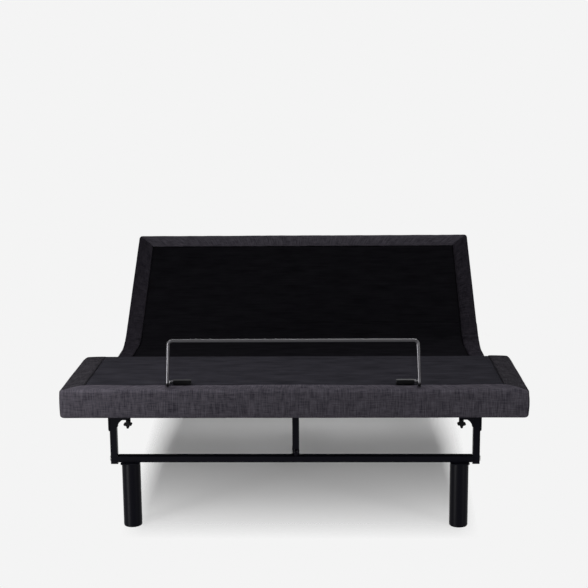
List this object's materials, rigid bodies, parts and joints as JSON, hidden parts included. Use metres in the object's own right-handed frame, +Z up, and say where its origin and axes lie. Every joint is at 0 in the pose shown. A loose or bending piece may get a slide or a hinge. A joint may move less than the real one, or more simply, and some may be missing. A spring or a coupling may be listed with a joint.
{
  "type": "adjustable bed base",
  "caption": "Adjustable bed base with hinged head, thigh and foot sections, upholstered deck, steel frame on round legs, push-rod actuators and a mattress retainer bar.",
  "frame": {"origin": "on the floor, at the middle of the object's box with the head and knees raised", "axes": "+X across the bed, to the right seen from the foot end; +Y towards the head end; +Z up"},
  "size_m": [1.524, 1.9146, 0.7428],
  "materials": {
    "charcoal_linen": "slub-woven upholstery cloth, matte",
    "black_nonwoven": "non-woven deck cloth, matte",
    "deck_board": "plain plywood",
    "softwood": "planed pine",
    "black_steel": "satin black powder coat",
    "bar_steel": "semi-gloss graphite coat",
    "zinc_steel": "zinc plated",
    "rod_steel": "ground and plated",
    "tube_aluminium": "satin anodised",
    "black_plastic": "moulded, fine texture",
    "grey_plastic": "moulded, fine texture",
    "black_rubber": "matte"
  },
  "bodies": {
    "base": {"front_crossbeam": "black_steel", "centre_spine": "black_steel", "side_rails": "black_steel", "frame_crossbeams": "black_steel", "seat_spacers": "black_rubber", "headboard_plates": "black_steel", "front_legs": "black_steel", "rear_legs": "black_steel", "leg_glides": "black_rubber", "leg_bolts": "zinc_steel", "centre_stay_lug": "black_steel", "stay_pivot_bolts": "zinc_steel", "motor_brackets": "black_steel", "motor_pivot_pins": "zinc_steel", "control_box": "black_plastic", "seat_border": "charcoal_linen", "seat_centre_panel": "black_nonwoven", "seat_board": "deck_board", "seat_rails": "softwood", "seat_hinge_leaves": "black_steel", "seat_hinge_pins": "zinc_steel"},
    "head": {"head_border": "charcoal_linen", "head_centre_panel": "black_nonwoven", "head_board": "deck_board", "head_rails": "softwood", "head_hinge_leaves": "black_steel", "head_lift_bar": "black_steel"},
    "thigh": {"thigh_border": "charcoal_linen", "thigh_centre_panel": "black_nonwoven", "thigh_board": "deck_board", "thigh_rails": "softwood", "thigh_hinge_leaves": "black_steel", "knee_hinge_pins": "zinc_steel", "thigh_lift_bar": "black_steel"},
    "foot": {"foot_border": "charcoal_linen", "foot_centre_panel": "black_nonwoven", "foot_board": "deck_board", "foot_rails": "softwood", "foot_hinge_leaves": "black_steel", "foot_cross_bar": "black_steel", "outer_stay_brackets": "black_steel", "centre_stay_bracket": "black_steel", "clamp_knobs": "black_plastic", "retainer_bar": "bar_steel", "retainer_clips": "black_steel", "retainer_screws": "zinc_steel"},
    "stay_left": {"stay_left": "black_steel"},
    "stay_right": {"stay_right": "black_steel"},
    "stay_centre": {"stay_centre": "black_steel"},
    "head_motor": {"head_gear_case": "black_plastic", "head_motor_can": "grey_plastic", "head_outer_tube": "tube_aluminium"},
    "head_rod": {"head_push_rod": "rod_steel", "head_link_pin": "zinc_steel"},
    "foot_motor": {"foot_gear_case": "black_plastic", "foot_motor_can": "grey_plastic", "foot_outer_tube": "tube_aluminium"},
    "foot_rod": {"foot_push_rod": "rod_steel", "foot_link_pin": "zinc_steel"}
  },
  "joints": [
    {"name": "head_lift", "type": "hinge", "parent": "base", "child": "head", "pos_m": [0, 0.38273, 0.336], "axis": [1, 0, 0], "range_deg": [-36.3, 18.7]},
    {"name": "thigh_lift", "type": "hinge", "parent": "base", "child": "thigh", "pos_m": [0, -0.11727, 0.336], "axis": [-1, 0, 0], "range_deg": [-22.33, 0]},
    {"name": "knee_bend", "type": "hinge", "parent": "thigh", "child": "foot", "pos_m": [0, -0.48727, 0.488], "axis": [-1, 0, 0], "range_deg": [-0.01, 22.34]},
    {"name": "stay_left_fold", "type": "hinge", "parent": "base", "child": "stay_left", "pos_m": [-0.6106, -0.82727, 0.236], "axis": [1, 0, 0], "range_deg": [-89.39, 0]},
    {"name": "stay_right_fold", "type": "hinge", "parent": "base", "child": "stay_right", "pos_m": [0.6106, -0.82727, 0.236], "axis": [1, 0, 0], "range_deg": [-89.39, 0]},
    {"name": "stay_centre_fold", "type": "hinge", "parent": "base", "child": "stay_centre", "pos_m": [0.0045, -0.82727, 0.258], "axis": [1, 0, 0], "range_deg": [-89.39, 0]},
    {"name": "head_motor_pitch", "type": "hinge", "parent": "base", "child": "head_motor", "pos_m": [0.15, 0.00973, 0.215], "axis": [1, 0, 0], "range_deg": [-3.43, 1.77]},
    {"name": "head_rod_slide", "type": "slide", "parent": "head_motor", "child": "head_rod", "axis": [0, 0.9989, -0.0463], "range_m": [-0.09527, 0.04913]},
    {"name": "foot_motor_pitch", "type": "hinge", "parent": "base", "child": "foot_motor", "pos_m": [-0.15, 0.22773, 0.215], "axis": [1, 0, 0], "range_deg": [-0.347, 0]},
    {"name": "foot_rod_slide", "type": "slide", "parent": "foot_motor", "child": "foot_rod", "axis": [0, -0.9987, -0.0503], "range_m": [-0.05412, 0]}
  ],
  "couplings": [
    {"joint": "knee_bend", "follows": "thigh_lift", "ratio": -1},
    {"joint": "stay_left_fold", "follows": "thigh_lift", "ratio": 4},
    {"joint": "stay_right_fold", "follows": "thigh_lift", "ratio": 4},
    {"joint": "stay_centre_fold", "follows": "thigh_lift", "ratio": 4},
    {"joint": "foot_motor_pitch", "follows": "thigh_lift", "ratio": 0.0151},
    {"joint": "foot_rod_slide", "follows": "thigh_lift", "m_per_rad": 0.13858},
    {"joint": "head_motor_pitch", "follows": "head_lift", "ratio": 0.0941},
    {"joint": "head_rod_slide", "follows": "head_lift", "m_per_rad": 0.15022}
  ]
}
